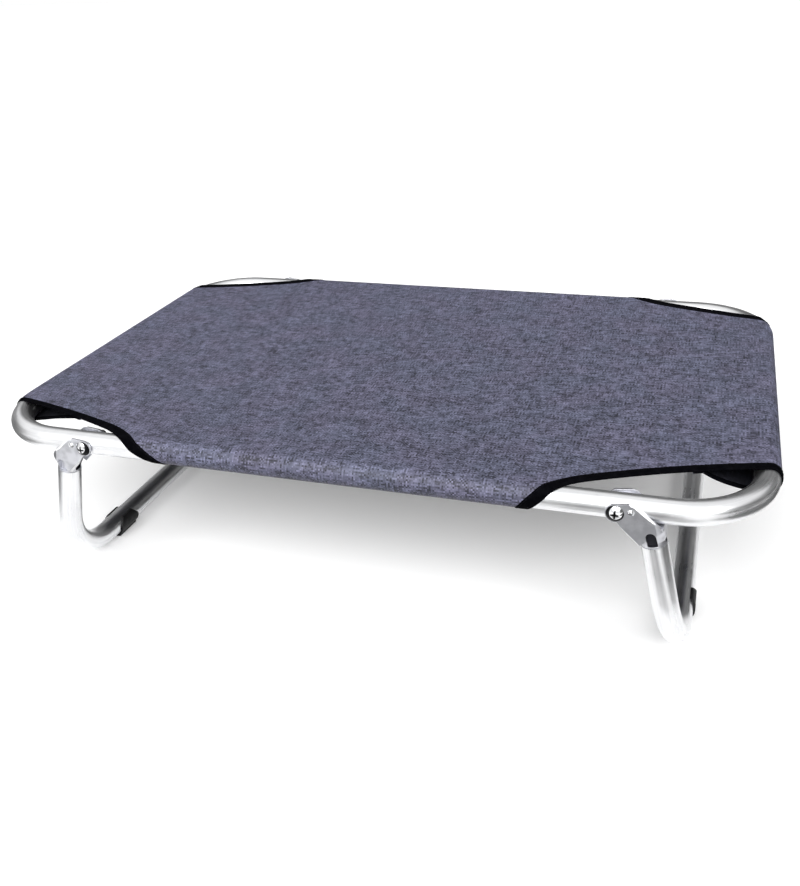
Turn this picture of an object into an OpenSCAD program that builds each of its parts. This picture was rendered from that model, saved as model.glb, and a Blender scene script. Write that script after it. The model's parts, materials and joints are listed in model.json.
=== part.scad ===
// Raised dog cot: a taut fabric cover on a bent tube frame that stands on two folding U-shaped legs.
// Origin: on the floor, under the middle of the frame. +X along the cot, +Y to its rear, +Z up.

/* [Frame] */
// Length of the frame ring, between the axes of its end tubes
frame_length = 898; // [760:2:1200]
// Width of the frame ring, between the axes of its long tubes
frame_width = 584; // [500:2:800]
// Height of the frame tubes' axes above the floor
frame_height = 200; // [180:5:300]
// Outer diameter of the frame and leg tubes
tube_d = 27; // [22:0.5:30]
// Wall of the frame and leg tubes
tube_wall = 1.5; // [1.2:0.1:2.5]
// Bend radius of the frame corners, at the tube's axis
frame_bend_r = 90; // [60:5:130]
// Length of the spigot that joins the two half frames in each long tube
spigot_length = 160; // [100:10:240]
// Gap between the butted ends of the half frames
joint_gap = 0.2; // [0.1:0.1:1]
// Gap all round a spigot or a knuckle shank in its tube
shank_gap = 0.1; // [0.05:0.05:0.3]

/* [Legs] */
// Distance of the leg pivots from the end tubes' axes
pivot_inset = 143; // [120:1:180]
// Angle by which the open legs splay outwards
leg_splay = 12; // [4:1:18]
// Gap between a frame tube and the leg tube folded under it
fold_gap = 3; // [2.5:0.5:8]
// Bend radius of the legs, at the tube's axis
leg_bend_r = 80; // [60:5:90]

/* [Knuckles] */
// Thickness of the two cheeks of the fork
cheek_t = 3; // [2:0.5:5]
// Gap between the fork and the frame tube
fork_gap = 0.3; // [0.2:0.1:0.6]
// Radius of the cheek's lobe round the pivot
lobe_r = 10; // [9:0.5:12]
// Radius of the cheek's lobe round the detent rivet
detent_lobe_r = 8.5; // [7.5:0.5:10]
// Distance of the detent rivet from the pivot
detent_inset = 15; // [13.5:0.5:18]
// Direction in which the sloping edge of the cheek faces, above the horizontal
cheek_slope = 38; // [34:1:44]
// Distance from the pivot at which the inner edge of the cheek turns down the leg
elbow_in = 7; // [6:0.5:12]
// How far the cheeks reach down past the top of the shoulders
elbow_drop = 14; // [4:1:16]
// Depth of the solid bridge before its shoulders start
bridge_depth = 2.2; // [1:0.2:6]
// How far the round body under the fork stands out past the cheeks
shoulder_ease = 1.2; // [0.6:0.2:3]
// Length of the tapered shoulders
shoulder_length = 14; // [10:1:20]
// Length of round neck between the shoulders and the leg tube
neck_length = 6; // [4:1:12]
// Step from the neck out to the leg tube
neck_step = 0.3; // [0.2:0.1:1]
// Length of shank inside the leg tube
shank_length = 35; // [28:1:45]
// Width of the four round-topped pockets in the neck
pocket_w = 10; // [6:0.5:11]
// Length of the pockets
pocket_l = 18; // [12:1:19]
// Depth of the pockets
pocket_depth = 6; // [3:0.5:7]
// Height of the rim left under the pockets
pocket_rim = 2; // [1:0.5:4]

/* [Fasteners] */
// Diameter of the pivot screw
screw_d = 6; // [5:0.5:8]
// Running gap all round the pivot screw in the knuckle
pivot_gap = 0.05; // [0.02:0.01:0.1]
// Gap between pieces that are fastened or pushed together
seat_gap = 0.1; // [0.05:0.05:0.2]
// Diameter of the pivot screw's head
head_d = 18; // [14:0.5:20]
// Height of the pivot screw's domed head
head_h = 4.5; // [3:0.5:6]
// Length of the cross recess in the head
recess_l = 8; // [5:0.5:10]
// Width of the cross recess
recess_w = 1.8; // [1:0.2:2.6]
// Depth of the cross recess
recess_depth = 2.5; // [1:0.5:2.8]
// Wall of the spacer sleeve in the frame tube
spacer_wall = 1.5; // [1:0.25:2]
// Diameter of the washer under the nut
washer_d = 14; // [12:0.5:18]
// Thickness of the washer under the nut
washer_t = 1.5; // [1:0.1:2]
// Width across the flats of the lock nut
nut_flats = 10; // [9.5:0.5:13]
// Height of the nut's hexagon
nut_h = 5; // [4:0.5:6.5]
// Diameter of the nut's round locking collar
collar_d = 9; // [8.5:0.1:9.2]
// Height of the nut's round locking collar
collar_h = 1.5; // [1:0.25:2.5]
// Length of screw that stands out of the nut
screw_tip = 1; // [0.5:0.5:3]
// Shank diameter of the rivets
rivet_d = 4; // [3:0.5:4.5]
// Head diameter of the rivets
rivet_head_d = 6; // [5:0.5:8]
// Head height of the rivets
rivet_head_h = 1.8; // [1:0.2:2.4]
// Distance of the leg rivet from the end of the leg tube
leg_rivet_inset = 20; // [16:1:24]
// Depth to which the leg rivet grips the shank
leg_rivet_grip = 6; // [4:1:9]

/* [Feet] */
// Thickness of the foot pad under the leg tube
foot_pad = 3; // [2.5:0.5:6]
// Width of the flat foot pad
foot_w = 18; // [14:1:24]
// Length of each foot along the leg, at the floor
foot_l = 40; // [30:2:70]
// Length of each foot at the top of its clip
foot_top_l = 22; // [10:2:28]
// Distance of each foot from the leg's bend
foot_inset = 11.5; // [2:0.5:20]
// Wall of the foot's clip
clip_wall = 2.4; // [1.5:0.1:2.4]
// Height to which the clip grips, above the leg tube's axis
clip_rise = 10.5; // [4:0.5:11]

/* [Cover] */
// Thickness of the fabric
sheet_t = 1; // [0.6:0.1:1.4]
// Gap between the fabric and the frame tubes
sheet_gap = 0.3; // [0.2:0.1:0.6]
// Distance of the sleeves' seams from the tubes' axes
seam_inset = 72; // [60:2:90]
// How far in the slope of a sleeve's underside is drawn level, before it rises to the seam
sleeve_belly = 30; // [28:2:70]
// Distance of the corner cut from the long tube's axis, at the end tube
cut_at_end = 62; // [50:2:90]
// Distance of the corner cut from the end tube's axis, at the long tube
cut_at_side = 174; // [165:1:195]
// Radius of the corner cut
cut_r = 800; // [500:10:1200]
// How much further back the long sleeves end under the tube than over it
sleeve_setback = 48; // [30:2:60]
// Width of the binding tape
tape_w = 12; // [8:0.5:14]
// Thickness of the binding tape
tape_t = 0.7; // [0.4:0.1:0.9]

/* [Hidden] */
$fn = 96;
// Facets of the wide corner-cut arcs
wide_fn = 720;
// Overshoot of cutting tools beyond the faces they cut
over = 1;
// Flats of a sleeve round its tube, and of its underside
bow_steps = 24;
belly_steps = 12;
// Step along the underside over which its slope is taken
slope_step = 0.001;

half_l = frame_length / 2;
half_w = frame_width / 2;
tube_r = tube_d / 2;
bore_r = tube_r - tube_wall;
shank_r = bore_r - shank_gap;

// Leg: u runs outwards from the pivot, square to the leg, and z up along the leg
pivot_x = half_l - pivot_inset;
leg_offset = tube_d + fold_gap;
leg_drop = frame_height - foot_pad - tube_r;
leg_reach = (leg_drop + leg_offset * sin(leg_splay)) / cos(leg_splay);
base_x = pivot_x + leg_offset * cos(leg_splay) + leg_reach * sin(leg_splay);
base_z = foot_pad + tube_r;

// Knuckle, in the leg's own directions
fork_in = tube_r + fork_gap;
fork_out = fork_in + cheek_t;
block_in = leg_offset - tube_r;
block_out = leg_offset + tube_r;
shoulder_top = stop_depth(block_out) + bridge_depth;
shoulder_end = shoulder_top + shoulder_length;
leg_rim = shoulder_end + neck_length;
shank_end = leg_rim + shank_length;
shoulder_r = fork_out + shoulder_ease;
neck_r = tube_r - neck_step;
neck_end = leg_rim - seat_gap;

// Pivot stack, outwards from the frame tube's axis
seat_out = fork_out + seat_gap;
nut_seat = seat_out + washer_t;
screw_end = nut_seat + nut_h + collar_h + screw_tip;
spacer_r = screw_d / 2 + seat_gap + spacer_wall;

// Cover: radii round a tube's axis, and the middle of a corner cut in plan
sheet_in = tube_r + sheet_gap;
sheet_out = sheet_in + sheet_t;
tape_in = sheet_out + seat_gap;
tape_out = tape_in + tape_t;
cut_chord = norm([cut_at_end, cut_at_side]);
cut_sink = sqrt(cut_r * cut_r - cut_chord * cut_chord / 4);
cut_x = half_l - cut_at_side / 2 + cut_sink * cut_at_end / cut_chord;
cut_y = half_w - cut_at_end / 2 + cut_sink * cut_at_side / cut_chord;
sleeve_end = half_l - cut_at_side;
tape_run = tape_w * norm([sleeve_setback, PI * sheet_out]) / (PI * sheet_out);

tube_color = [0.80, 0.81, 0.82];
fabric_color = [0.39, 0.39, 0.46];
black_color = [0.03, 0.03, 0.04];
cast_color = [0.62, 0.63, 0.66];
chrome_color = [0.85, 0.85, 0.86];
steel_color = [0.60, 0.60, 0.62];

// Depth below the pivot, along the leg, at which the bridge clears the frame tube when the leg is open
function stop_depth(u) = (fork_in + u * sin(leg_splay)) / cos(leg_splay);

// Point t of the underside of a sleeve: a curve from the tube's bottom, level at first, up to the seam
function belly_point(t) =
    let (low = sheet_in + sheet_t / 2)
    (1 - t) * (1 - t) * [0, -low] + 2 * t * (1 - t) * [-sleeve_belly, -low] + t * t * [-seam_inset, low];

// Unit normal of the underside at t
function belly_normal(t) =
    let (step = belly_point(t + slope_step) - belly_point(t - slope_step))
    [-step[1], step[0]] / norm(step);

// Places a piece of the right front corner at another corner
module at_corner(left, rear) {
    mirror([left ? 1 : 0, 0, 0])
        mirror([0, rear ? 1 : 0, 0])
            children();
}

// Right leg's own directions, with the origin on the pivot axis in the middle of the cot
module leg_frame() {
    translate([pivot_x, 0, frame_height])
        rotate([0, -leg_splay, 0])
            children();
}

// Right front pivot: z runs outwards along the screw, x along the cot
module pivot_frame() {
    translate([pivot_x, -half_w, frame_height])
        rotate([90, 0, 0])
            children();
}

module tube_section() {
    difference() {
        circle(r = tube_r);
        circle(r = bore_r);
    }
}

module straight_tube(length) {
    linear_extrude(length) tube_section();
}

// Quarter bend in the XY plane, from angle start
module quarter_bend(radius, start) {
    rotate([0, 0, start])
        rotate_extrude(angle = 90)
            translate([radius, 0])
                tube_section();
}

// Domed head that stands on z = 0
module dome(d, h) {
    ball_r = (d * d / 4 + h * h) / (2 * h);
    intersection() {
        translate([0, 0, h - ball_r]) sphere(r = ball_r);
        cylinder(d = d, h = h);
    }
}

module half_frame() {
    arm = half_l - frame_bend_r - joint_gap / 2;
    bend_y = half_w - frame_bend_r;
    color(tube_color)
        translate([0, 0, frame_height])
            difference() {
                union() {
                    for (y = [-half_w, half_w])
                        translate([joint_gap / 2, y, 0]) rotate([0, 90, 0]) straight_tube(arm);
                    translate([half_l - frame_bend_r, -bend_y, 0]) quarter_bend(frame_bend_r, -90);
                    translate([half_l - frame_bend_r, bend_y, 0]) quarter_bend(frame_bend_r, 0);
                    translate([half_l, -bend_y, 0]) rotate([-90, 0, 0]) straight_tube(2 * bend_y);
                }
                for (y = [-half_w, half_w])
                    translate([pivot_x, y, 0])
                        rotate([90, 0, 0])
                            cylinder(r = spacer_r + seat_gap, h = tube_d + 2 * over, center = true);
            }
}

module joint_spigot() {
    color(tube_color)
        translate([-spigot_length / 2, -half_w, frame_height])
            rotate([0, 90, 0])
                difference() {
                    cylinder(r = shank_r, h = spigot_length);
                    translate([0, 0, -over]) cylinder(r = shank_r - tube_wall, h = spigot_length + 2 * over);
                }
}

module leg() {
    upright = leg_reach - leg_bend_r - leg_rim;
    bend_y = half_w - leg_bend_r;
    bend_z = leg_bend_r - leg_reach;
    color(tube_color)
        leg_frame()
            difference() {
                union() {
                    for (y = [-half_w, half_w])
                        translate([leg_offset, y, bend_z]) straight_tube(upright);
                    translate([leg_offset, bend_y, bend_z]) rotate([90, 0, 90]) quarter_bend(leg_bend_r, -90);
                    translate([leg_offset, -bend_y, bend_z]) rotate([90, 0, 90]) quarter_bend(leg_bend_r, 180);
                    translate([leg_offset, -bend_y, -leg_reach]) rotate([-90, 0, 0]) straight_tube(2 * bend_y);
                }
                for (rear = [false, true])
                    mirror([0, rear ? 1 : 0, 0]) leg_rivet_hole();
            }
}

// Hole for the leg rivet, from the middle of the front upright towards the middle of the cot
module leg_rivet_hole() {
    translate([leg_offset, -half_w + tube_r - tube_wall - leg_rivet_grip, -leg_rim - leg_rivet_inset])
        rotate([-90, 0, 0])
            cylinder(d = rivet_d + 2 * seat_gap, h = leg_rivet_grip + tube_wall + over);
}

// Side view of a cheek: lobes round the pivot and the rivet, then an elbow down to the leg
module cheek_outline() {
    corner_z = (detent_lobe_r - (block_out - detent_inset) * cos(cheek_slope)) / sin(cheek_slope);
    circle(r = lobe_r);
    translate([detent_inset, 0]) circle(r = detent_lobe_r);
    polygon([
        [0, lobe_r],
        [detent_inset, detent_lobe_r],
        [detent_inset + detent_lobe_r * cos(cheek_slope), detent_lobe_r * sin(cheek_slope)],
        [block_out, corner_z],
        [block_out, -shoulder_top],
        [block_in, -shoulder_top - elbow_drop],
        [elbow_in, -shoulder_top],
        [0, -lobe_r]
    ]);
}

// Two cheeks of the fork, rounded about the leg's axis on their outer side
module cheeks() {
    intersection() {
        for (y = [-fork_in, fork_out])
            translate([0, y, 0]) rotate([90, 0, 0]) linear_extrude(cheek_t) cheek_outline();
        union() {
            translate([-lobe_r - over, -fork_out - over, -shank_end])
                cube([leg_offset + lobe_r + over, 2 * (fork_out + over), shank_end + lobe_r + over]);
            translate([leg_offset, 0, -shank_end]) cylinder(r = shoulder_r, h = shank_end + lobe_r + over);
        }
    }
}

// Bridge under the frame tube, tapered shoulders, neck and shank, turned about the leg's axis
module knuckle_stem() {
    intersection() {
        translate([0, fork_out, 0])
            rotate([90, 0, 0])
                linear_extrude(2 * fork_out)
                    polygon([
                        [block_in, -stop_depth(block_in)],
                        [block_out, -stop_depth(block_out)],
                        [block_out, -shank_end],
                        [block_in, -shank_end]
                    ]);
        translate([leg_offset, 0, 0])
            rotate_extrude()
                polygon([
                    [0, -fork_in],
                    [shoulder_r, -fork_in],
                    [shoulder_r, -shoulder_top],
                    [neck_r, -shoulder_end],
                    [neck_r, -neck_end],
                    [shank_r, -neck_end],
                    [shank_r, -shank_end],
                    [0, -shank_end]
                ]);
    }
}

// Round-topped pocket that opens outwards along x, with its foot at the origin's height
module pocket() {
    side_l = pocket_l - pocket_w / 2;
    translate([neck_r - pocket_depth, 0, 0]) {
        translate([0, -pocket_w / 2, 0]) cube([shoulder_r, pocket_w, side_l]);
        translate([0, 0, side_l]) rotate([0, 90, 0]) cylinder(d = pocket_w, h = shoulder_r);
    }
}

module knuckle() {
    color(cast_color)
        leg_frame() {
            difference() {
                translate([0, -half_w, 0])
                    difference() {
                        union() {
                            cheeks();
                            knuckle_stem();
                        }
                        rotate([90, 0, 0])
                            cylinder(r = screw_d / 2 + pivot_gap, h = 2 * fork_out + 2 * over, center = true);
                        translate([detent_inset, 0, 0])
                            rotate([90, 0, 0])
                                cylinder(d = rivet_d + 2 * seat_gap, h = 2 * fork_out + 2 * over, center = true);
                        for (turn = [0 : 90 : 270])
                            translate([leg_offset, 0, pocket_rim - neck_end])
                                rotate([0, 0, turn])
                                    pocket();
                    }
                leg_rivet_hole();
            }
        }
}

module pivot_screw() {
    color(chrome_color)
        pivot_frame() {
            difference() {
                translate([0, 0, seat_out]) dome(head_d, head_h);
                for (turn = [0, 90])
                    rotate([0, 0, turn])
                        translate([-recess_l / 2, -recess_w / 2, seat_out + head_h - recess_depth])
                            cube([recess_l, recess_w, recess_depth + over]);
            }
            translate([0, 0, -screw_end]) cylinder(d = screw_d, h = screw_end + seat_out);
        }
}

module pivot_nut() {
    color(steel_color)
        pivot_frame()
            translate([0, 0, -nut_seat])
                mirror([0, 0, 1])
                    difference() {
                        union() {
                            cylinder(d = nut_flats / cos(30), h = nut_h, $fn = 6);
                            cylinder(d = collar_d, h = nut_h + collar_h);
                        }
                        translate([0, 0, -over])
                            cylinder(r = screw_d / 2 + pivot_gap, h = nut_h + collar_h + 2 * over);
                    }
}

module pivot_washer() {
    color(steel_color)
        pivot_frame()
            translate([0, 0, -nut_seat])
                difference() {
                    cylinder(d = washer_d, h = washer_t);
                    translate([0, 0, -over]) cylinder(r = screw_d / 2 + seat_gap, h = washer_t + 2 * over);
                }
}

module pivot_spacer() {
    length = 2 * (fork_in - seat_gap);
    color(steel_color)
        pivot_frame()
            difference() {
                cylinder(r = spacer_r, h = length, center = true);
                cylinder(r = screw_d / 2 + seat_gap, h = length + 2 * over, center = true);
            }
}

// Rivet in each cheek, flush with the cheek's inner face
module detent_rivets() {
    color(chrome_color)
        leg_frame()
            translate([detent_inset, -half_w, 0])
                for (side = [-90, 90])
                    rotate([side, 0, 0]) {
                        translate([0, 0, fork_in]) cylinder(d = rivet_d, h = cheek_t);
                        translate([0, 0, fork_out]) dome(rivet_head_d, rivet_head_h);
                    }
}

// Rivet on the inner side of the leg, through the tube into the knuckle's shank
module leg_rivet() {
    color(steel_color)
        leg_frame()
            translate([leg_offset, -half_w, -leg_rim - leg_rivet_inset])
                rotate([-90, 0, 0]) {
                    translate([0, 0, bore_r - leg_rivet_grip + seat_gap])
                        cylinder(d = rivet_d, h = leg_rivet_grip + tube_wall - seat_gap);
                    translate([0, 0, tube_r]) dome(rivet_head_d, rivet_head_h);
                }
}

// Side view of a foot: upright ends to the leg tube's axis, then sloping in to the top of the clip
module foot_outline() {
    slope_l = (foot_l - foot_top_l) / 2;
    polygon([
        [0, 0],
        [foot_l, 0],
        [foot_l, base_z],
        [foot_l - slope_l, base_z + clip_rise],
        [slope_l, base_z + clip_rise],
        [0, base_z]
    ]);
}

// Clip round the underside of the leg's base tube, with a flat pad to stand on
module foot() {
    clip_r = tube_r + clip_wall;
    color(black_color)
        translate([base_x, leg_bend_r + foot_inset - half_w, 0])
            difference() {
                intersection() {
                    union() {
                        translate([0, 0, base_z]) rotate([-90, 0, 0]) cylinder(r = clip_r, h = foot_l);
                        translate([-foot_w / 2, 0, 0]) cube([foot_w, foot_l, base_z]);
                    }
                    translate([-clip_r - over, 0, 0])
                        rotate([90, 0, 90])
                            linear_extrude(2 * (clip_r + over))
                                foot_outline();
                }
                translate([0, -over, base_z])
                    rotate([-90, 0, 0])
                        cylinder(r = tube_r + seat_gap, h = foot_l + 2 * over);
            }
}

// Plan of the four round cut-outs at the corners
module corner_cuts() {
    for (x = [-cut_x, cut_x], y = [-cut_y, cut_y])
        translate([x, y]) circle(r = cut_r, $fn = wide_fn);
}

// Section of a sleeve: round the outside of the tube, then back under it to the seam
module sleeve_section() {
    bows = [for (i = [0 : bow_steps]) 90 - 180 * i / bow_steps];
    turns = [for (i = [1 : belly_steps]) i / belly_steps];
    polygon(concat(
        [for (a = bows) sheet_out * [cos(a), sin(a)]],
        [for (t = turns) belly_point(t) + belly_normal(t) * sheet_t / 2],
        [for (i = [belly_steps - 1 : -1 : 0]) belly_point(turns[i]) - belly_normal(turns[i]) * sheet_t / 2],
        [for (i = [bow_steps : -1 : 0]) sheet_in * [cos(bows[i]), sin(bows[i])]]
    ));
}

// Outer half of a ring round a tube, where the tape wraps it
module tape_section() {
    difference() {
        circle(r = tape_out);
        circle(r = tape_in);
        translate([-tape_out - over, -tape_out - over]) square([tape_out + over, 2 * (tape_out + over)]);
    }
}

// Front view of a long sleeve, whose ends slope back under the tube, less a margin at each end
module sleeve_ends(margin) {
    top_x = sleeve_end - margin;
    low_x = top_x - sleeve_setback;
    slope = sleeve_setback / (2 * sheet_out);
    reach = sheet_out + over;
    polygon([
        [-top_x - over * slope, reach],
        [top_x + over * slope, reach],
        [low_x - over * slope, -reach],
        [-low_x + over * slope, -reach]
    ]);
}

module front_sleeve() {
    intersection() {
        translate([-half_l, -half_w, 0])
            rotate([90, 0, 90])
                linear_extrude(frame_length)
                    mirror([1, 0]) sleeve_section();
        rotate([90, 0, 0]) linear_extrude(frame_width) sleeve_ends(0);
    }
}

module right_sleeve() {
    translate([half_l, half_w, 0])
        rotate([90, 0, 0])
            linear_extrude(frame_width)
                sleeve_section();
}

module cover() {
    color(fabric_color)
        translate([0, 0, frame_height])
            difference() {
                union() {
                    translate([-half_l, -half_w, sheet_in]) cube([frame_length, frame_width, sheet_t]);
                    for (rear = [false, true])
                        mirror([0, rear ? 1 : 0, 0]) front_sleeve();
                    for (left = [false, true])
                        mirror([left ? 1 : 0, 0, 0]) right_sleeve();
                }
                translate([0, 0, -sheet_out - over])
                    linear_extrude(2 * (sheet_out + over))
                        corner_cuts();
            }
}

// Plan of the tape along the right front corner cut, to a distance past the end tube's axis
module tape_plan(past) {
    intersection() {
        difference() {
            translate([cut_x, -cut_y]) circle(r = cut_r + tape_w, $fn = wide_fn);
            translate([cut_x, -cut_y]) circle(r = cut_r, $fn = wide_fn);
        }
        translate([0, -half_w]) square([half_l + past, half_w]);
    }
}

// Tape along the right front corner cut, and its two ends round the tubes
module binding() {
    color(black_color)
        translate([0, 0, frame_height]) {
            translate([0, 0, tape_in])
                linear_extrude(tape_t)
                    tape_plan(0);
            intersection() {
                translate([half_l, half_w, 0])
                    rotate([90, 0, 0])
                        linear_extrude(frame_width)
                            tape_section();
                translate([0, 0, -tape_out - over])
                    linear_extrude(2 * (tape_out + over))
                        tape_plan(tape_out + over);
            }
            intersection() {
                translate([0, -half_w, 0])
                    rotate([90, 0, 90])
                        linear_extrude(half_l)
                            mirror([1, 0]) tape_section();
                rotate([90, 0, 0])
                    linear_extrude(frame_width)
                        difference() {
                            sleeve_ends(0);
                            sleeve_ends(tape_run);
                        }
            }
        }
}

at_corner(true, false) half_frame();  // left_half_frame
half_frame();  // right_half_frame
joint_spigot();  // front_joint_spigot
at_corner(false, true) joint_spigot();  // rear_joint_spigot
cover();
at_corner(true, false) binding();  // left_front_binding
at_corner(false, false) binding();  // right_front_binding
at_corner(true, true) binding();  // left_rear_binding
at_corner(false, true) binding();  // right_rear_binding
at_corner(true, false) leg();  // left_leg
leg();  // right_leg
at_corner(true, false) knuckle();  // left_front_knuckle
at_corner(false, false) knuckle();  // right_front_knuckle
at_corner(true, true) knuckle();  // left_rear_knuckle
at_corner(false, true) knuckle();  // right_rear_knuckle
at_corner(true, false) pivot_screw();  // left_front_pivot_screw
at_corner(false, false) pivot_screw();  // right_front_pivot_screw
at_corner(true, true) pivot_screw();  // left_rear_pivot_screw
at_corner(false, true) pivot_screw();  // right_rear_pivot_screw
at_corner(true, false) pivot_nut();  // left_front_pivot_nut
at_corner(false, false) pivot_nut();  // right_front_pivot_nut
at_corner(true, true) pivot_nut();  // left_rear_pivot_nut
at_corner(false, true) pivot_nut();  // right_rear_pivot_nut
at_corner(true, false) pivot_washer();  // left_front_pivot_washer
at_corner(false, false) pivot_washer();  // right_front_pivot_washer
at_corner(true, true) pivot_washer();  // left_rear_pivot_washer
at_corner(false, true) pivot_washer();  // right_rear_pivot_washer
at_corner(true, false) pivot_spacer();  // left_front_pivot_spacer
at_corner(false, false) pivot_spacer();  // right_front_pivot_spacer
at_corner(true, true) pivot_spacer();  // left_rear_pivot_spacer
at_corner(false, true) pivot_spacer();  // right_rear_pivot_spacer
at_corner(true, false) detent_rivets();  // left_front_detent_rivets
at_corner(false, false) detent_rivets();  // right_front_detent_rivets
at_corner(true, true) detent_rivets();  // left_rear_detent_rivets
at_corner(false, true) detent_rivets();  // right_rear_detent_rivets
at_corner(true, false) leg_rivet();  // left_front_leg_rivet
at_corner(false, false) leg_rivet();  // right_front_leg_rivet
at_corner(true, true) leg_rivet();  // left_rear_leg_rivet
at_corner(false, true) leg_rivet();  // right_rear_leg_rivet
at_corner(true, false) foot();  // left_front_foot
at_corner(false, false) foot();  // right_front_foot
at_corner(true, true) foot();  // left_rear_foot
at_corner(false, true) foot();  // right_rear_foot
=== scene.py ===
# Raised dog cot: the cloth cover, its bindings and all finishes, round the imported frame. Metres.
import json
import math

import bmesh
import bpy
import numpy as np
from mathutils import Matrix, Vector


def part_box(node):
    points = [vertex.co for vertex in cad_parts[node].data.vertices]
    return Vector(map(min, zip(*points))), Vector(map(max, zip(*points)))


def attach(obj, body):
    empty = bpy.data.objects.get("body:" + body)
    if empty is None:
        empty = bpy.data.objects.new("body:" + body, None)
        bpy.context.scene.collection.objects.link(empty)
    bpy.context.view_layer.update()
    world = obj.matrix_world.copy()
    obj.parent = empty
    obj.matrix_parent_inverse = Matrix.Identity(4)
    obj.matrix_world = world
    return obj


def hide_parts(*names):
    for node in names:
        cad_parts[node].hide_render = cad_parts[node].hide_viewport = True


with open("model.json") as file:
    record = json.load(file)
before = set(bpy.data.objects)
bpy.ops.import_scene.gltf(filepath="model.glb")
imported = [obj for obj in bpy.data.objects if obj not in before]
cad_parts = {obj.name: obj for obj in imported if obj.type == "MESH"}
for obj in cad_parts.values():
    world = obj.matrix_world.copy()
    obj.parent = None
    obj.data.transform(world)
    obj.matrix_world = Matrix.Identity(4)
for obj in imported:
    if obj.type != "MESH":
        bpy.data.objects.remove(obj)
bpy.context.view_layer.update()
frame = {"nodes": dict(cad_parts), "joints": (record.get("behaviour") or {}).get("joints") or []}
cadNodes = frame["nodes"]
cornerSigns = {"left_front": (-1, -1), "right_front": (1, -1), "left_rear": (-1, 1), "right_rear": (1, 1)}
print("frame loaded,", len(cadNodes), "nodes")

# Main sizes of the ring, from the frame itself, and the radius of its bends
ringLo, ringHi = (np.array(corner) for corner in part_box("right_half_frame"))
tubeRadius = (ringHi[2] - ringLo[2]) / 2
ringZ = (ringHi[2] + ringLo[2]) / 2
halfLength = ringHi[0] - tubeRadius
halfWidth = ringHi[1] - tubeRadius
ringBend = 0.090
pivotX = abs(frame["joints"][0]["pos_m"][0])

# Camera at the photo's view: place, turn in degrees, focal length and middle in pixels of the image
photoView = {
    "place": (0.3780, -1.1198, 0.7026),
    "yaw": 18.72,
    "pitch": 25.30,
    "roll": -2.83,
    "focal": 949.3,
    "middle": (413.07, 404.69),
    "image": (800, 886),
    "sensor": 36.0,
}


def makeCamera(view):
    yaw, pitch, roll = (math.radians(view[key]) for key in ("yaw", "pitch", "roll"))
    level = np.array([math.cos(yaw), math.sin(yaw), 0])
    ahead = np.array([-math.sin(yaw) * math.cos(pitch), math.cos(yaw) * math.cos(pitch), -math.sin(pitch)])
    rise = np.cross(level, ahead)
    right = math.cos(roll) * level + math.sin(roll) * rise
    up = math.cos(roll) * rise - math.sin(roll) * level
    lens = bpy.data.cameras.new("photoCamera")
    longSide = max(view["image"])
    lens.sensor_width = view["sensor"]
    lens.lens = view["focal"] * view["sensor"] / longSide
    lens.shift_x = (view["image"][0] / 2 - view["middle"][0]) / longSide
    lens.shift_y = (view["middle"][1] - view["image"][1] / 2) / longSide
    camera = bpy.data.objects.new("photoCamera", lens)
    turned = Matrix(np.stack([right, up, -ahead], 1).tolist()).to_4x4()
    camera.matrix_world = Matrix.Translation(view["place"]) @ turned
    bpy.context.scene.collection.objects.link(camera)
    bpy.context.scene.camera = camera


makeCamera(photoView)
print("camera placed")


# One output of a node; sums, products and quotients of wires add Math nodes to the tree
class Wire:
    def __init__(self, tree, socket=None):
        self.tree = tree
        self.socket = socket

    def node(self, kind, settings, values, out=0):
        made = self.tree.nodes.new(kind)
        for name, value in settings.items():
            setattr(made, name, value)
        for name, value in values.items():
            if isinstance(value, Wire):
                self.tree.links.new(value.socket, made.inputs[name])
            else:
                made.inputs[name].default_value = value
        return Wire(self.tree, made.outputs[out])

    def maths(self, operation, first, second=0.0):
        return self.node("ShaderNodeMath", {"operation": operation}, {0: first, 1: second})

    def __add__(self, other):
        return self.maths("ADD", self, other)

    def __sub__(self, other):
        return self.maths("SUBTRACT", self, other)

    def __rsub__(self, other):
        return self.maths("SUBTRACT", other, self)

    def __mul__(self, other):
        return self.maths("MULTIPLY", self, other)

    def __truediv__(self, other):
        return self.maths("DIVIDE", self, other)

    def __abs__(self):
        return self.maths("ABSOLUTE", self)

    __radd__ = __add__
    __rmul__ = __mul__


def startMaterial(name, fixed):
    # a Principled material with the sockets that are the same all over
    material = bpy.data.materials.new(name)
    material.use_nodes = True
    shader = material.node_tree.nodes["Principled BSDF"]
    for socket, value in fixed.items():
        shader.inputs[socket].default_value = value
    return material, shader, Wire(material.node_tree)


def feed(shader, socket, wire):
    wire.tree.links.new(wire.socket, shader.inputs[socket])


def split(vector):
    parts = vector.node("ShaderNodeSeparateXYZ", {}, {0: vector})
    return [Wire(vector.tree, parts.socket.node.outputs[axis]) for axis in range(3)]


def join(x, y, z=0.0):
    return x.node("ShaderNodeCombineXYZ", {}, {0: x, 1: y, 2: z})


def stretch(vector, factors):
    return vector.node("ShaderNodeVectorMath", {"operation": "MULTIPLY"}, {0: vector, 1: factors})


def noise(vector, scale=1.0, detail=1.0, rough=0.5):
    values = {"Vector": vector, "Scale": scale, "Detail": detail, "Roughness": rough}
    return vector.node("ShaderNodeTexNoise", {"noise_dimensions": "3D"}, values)


def patches(vector, scale):
    return noise(vector, scale, 3.0, 0.6)


def ease(wire, low, high, start=0.0, end=1.0):
    values = {"Value": wire, "From Min": low, "From Max": high, "To Min": start, "To Max": end}
    return wire.node("ShaderNodeMapRange", {"interpolation_type": "SMOOTHSTEP"}, values)


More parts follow.
